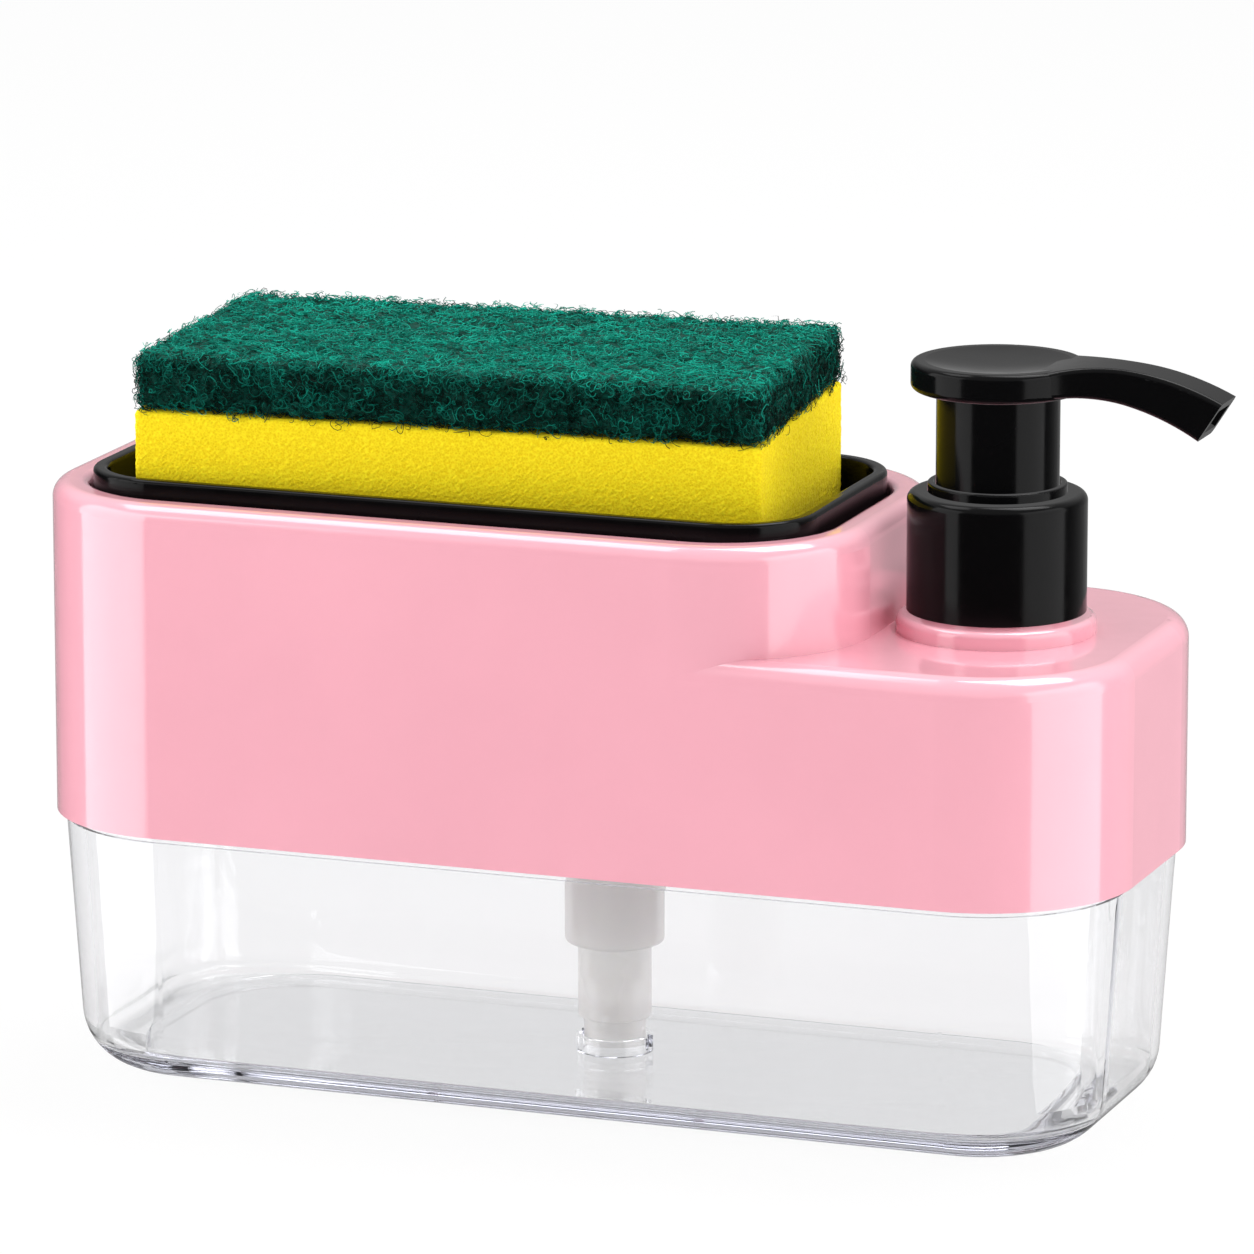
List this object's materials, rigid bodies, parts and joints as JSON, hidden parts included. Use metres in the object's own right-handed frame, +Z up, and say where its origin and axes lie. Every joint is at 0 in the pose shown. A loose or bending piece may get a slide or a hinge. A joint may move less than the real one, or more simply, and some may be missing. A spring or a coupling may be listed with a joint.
{
  "type": "soap pump caddy",
  "caption": "Counter-top soap dispenser with a clear tank, a pink cover that carries a press pump, and a raised well holding a tray with a two-layer sponge.",
  "frame": {"origin": "middle of the tank's underside, on the plane it stands on", "axes": "+X towards the pump end, -Y front, +Z up"},
  "size_m": [0.2225, 0.0864, 0.1426],
  "materials": {
    "clear_plastic": "clear, polished",
    "pink_plastic": "glossy",
    "black_plastic": "glossy",
    "yellow_foam": "open-pore foam",
    "green_fibre": "matted fibres",
    "white_plastic": "satin",
    "milky_plastic": "translucent",
    "soft_seal": "satin",
    "spring_steel": "bright",
    "ball_steel": "polished"
  },
  "bodies": {
    "tank": {"tank": "clear_plastic"},
    "cover": {"shell": "pink_plastic", "closure_shell": "black_plastic", "closure_insert": "white_plastic", "neck_gasket": "soft_seal", "pump_housing": "white_plastic", "stem_guide": "white_plastic", "return_spring": "spring_steel", "suction_pipe": "milky_plastic", "pickup_elbow": "milky_plastic", "pickup_tube": "milky_plastic", "pickup_foot": "milky_plastic"},
    "tray": {"sponge_tray": "black_plastic"},
    "sponge": {"sponge_foam": "yellow_foam", "scouring_pad": "green_fibre"},
    "plunger": {"pump_stem": "white_plastic", "piston": "soft_seal"},
    "head": {"pump_head": "black_plastic"},
    "inlet_ball": {"inlet_ball": "ball_steel"},
    "outlet_ball": {"outlet_ball": "ball_steel"}
  },
  "joints": [
    {"name": "cover_lift", "type": "slide", "parent": "tank", "child": "cover", "axis": [0, 0, 1], "range_m": [0, 0.06]},
    {"name": "tray_lift", "type": "slide", "parent": "cover", "child": "tray", "axis": [0, 0, 1], "range_m": [0, 0.04]},
    {"name": "sponge_lift", "type": "slide", "parent": "tray", "child": "sponge", "axis": [0, 0, 1], "range_m": [0, 0.05]},
    {"name": "pump_press", "type": "slide", "parent": "cover", "child": "plunger", "axis": [0, 0, -1], "range_m": [0, 0.011], "stiffness_N_per_m": 400, "springref_m": -0.012, "deforming": ["return_spring"]},
    {"name": "head_turn", "type": "hinge", "parent": "plunger", "child": "head", "pos_m": [0.0739, 0, 0.13], "axis": [0, 0, 1], "range_deg": [-110, 110]},
    {"name": "inlet_ball_lift", "type": "slide", "parent": "cover", "child": "inlet_ball", "axis": [0, 0, 1], "range_m": [0, 0.003]},
    {"name": "outlet_ball_lift", "type": "slide", "parent": "plunger", "child": "outlet_ball", "axis": [0, 0, 1], "range_m": [0, 0.0015]}
  ]
}
